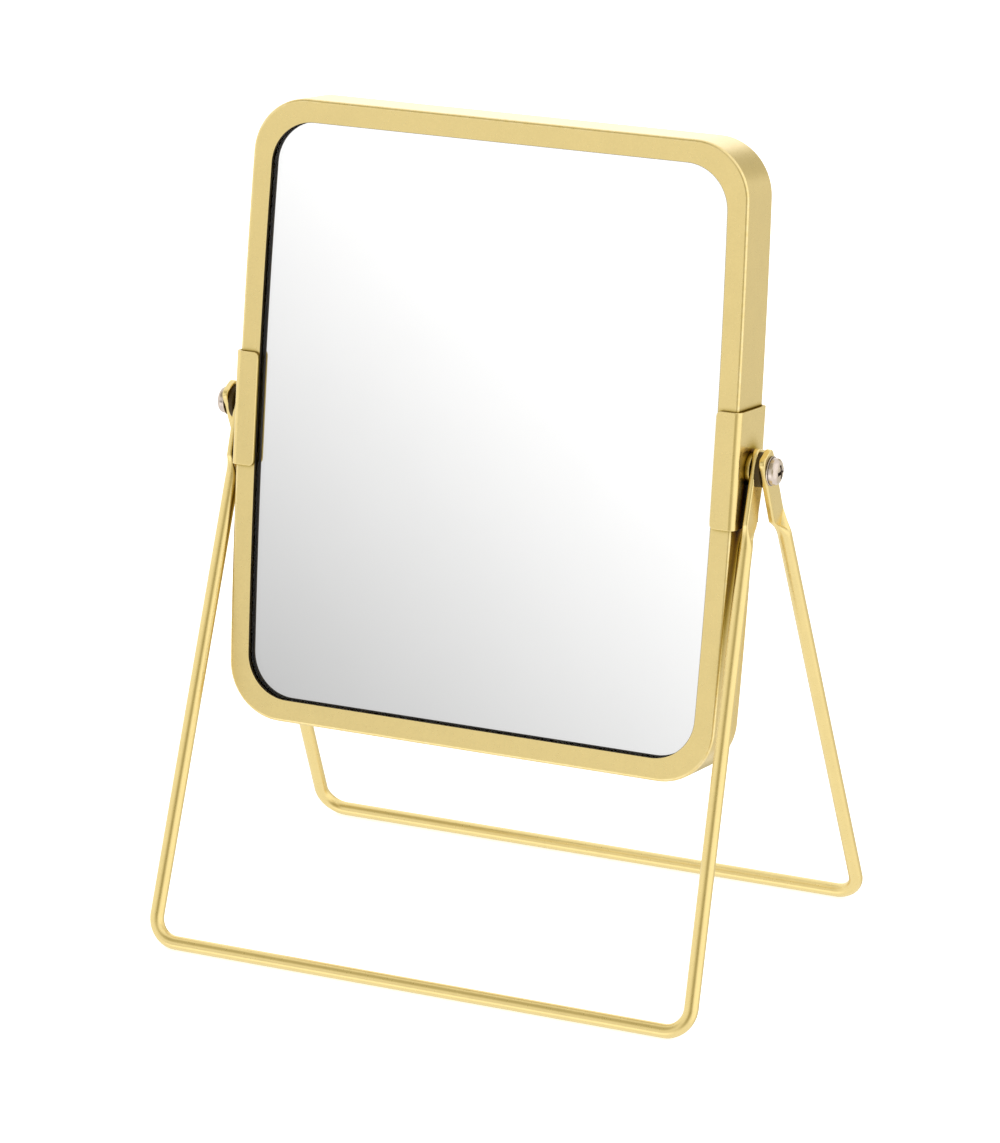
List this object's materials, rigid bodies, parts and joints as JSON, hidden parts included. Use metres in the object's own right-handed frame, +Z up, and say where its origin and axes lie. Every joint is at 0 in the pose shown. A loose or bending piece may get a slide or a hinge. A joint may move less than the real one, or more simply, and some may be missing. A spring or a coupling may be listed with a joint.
{
  "type": "folding table mirror",
  "caption": "Two-sided rounded rectangular mirror in a gold metal frame, turning between two nested U-shaped wire legs that fold flat.",
  "frame": {"origin": "on the table, in the middle of the box that the open mirror takes up", "axes": "+Z up, +X to the right of a person looking at the front glass, +Y away from them; the pivot axis runs along X"},
  "size_m": [0.176, 0.1202, 0.2344],
  "materials": {
    "gold_paint": "fine-grained metallic gold paint, satin",
    "mirror_glass": "silvered glass",
    "black_seal": "matt black",
    "foam": "closed-cell foam",
    "black_nylon": "matt black",
    "nickel": "nickel plated, bright",
    "zinc_steel": "zinc plated"
  },
  "bodies": {
    "front_stand": {"front_leg": "gold_paint", "friction_washer_left": "black_nylon", "friction_washer_right": "black_nylon"},
    "rear_stand": {"rear_leg": "gold_paint"},
    "mirror_head": {"frame_upper_half": "gold_paint", "frame_lower_half": "gold_paint", "front_mirror_glass": "mirror_glass", "rear_magnifying_glass": "mirror_glass", "glass_seal_front": "black_seal", "glass_seal_rear": "black_seal", "foam_core": "foam", "side_clip_left": "gold_paint", "spacer_collar_left": "gold_paint", "head_washer_left": "nickel", "pivot_nut_left": "zinc_steel", "pivot_screw_left": "nickel", "side_clip_right": "gold_paint", "spacer_collar_right": "gold_paint", "head_washer_right": "nickel", "pivot_nut_right": "zinc_steel", "pivot_screw_right": "nickel"}
  },
  "joints": [
    {"name": "rear_leg_fold", "type": "hinge", "parent": "front_stand", "child": "rear_stand", "pos_m": [0, -0.00589, 0.14624], "axis": [-1, 0, 0], "range_deg": [-20, 43.83]},
    {"name": "mirror_tilt", "type": "hinge", "parent": "front_stand", "child": "mirror_head", "pos_m": [0, -0.00589, 0.14624], "axis": [1, 0, 0], "continuous": true}
  ]
}
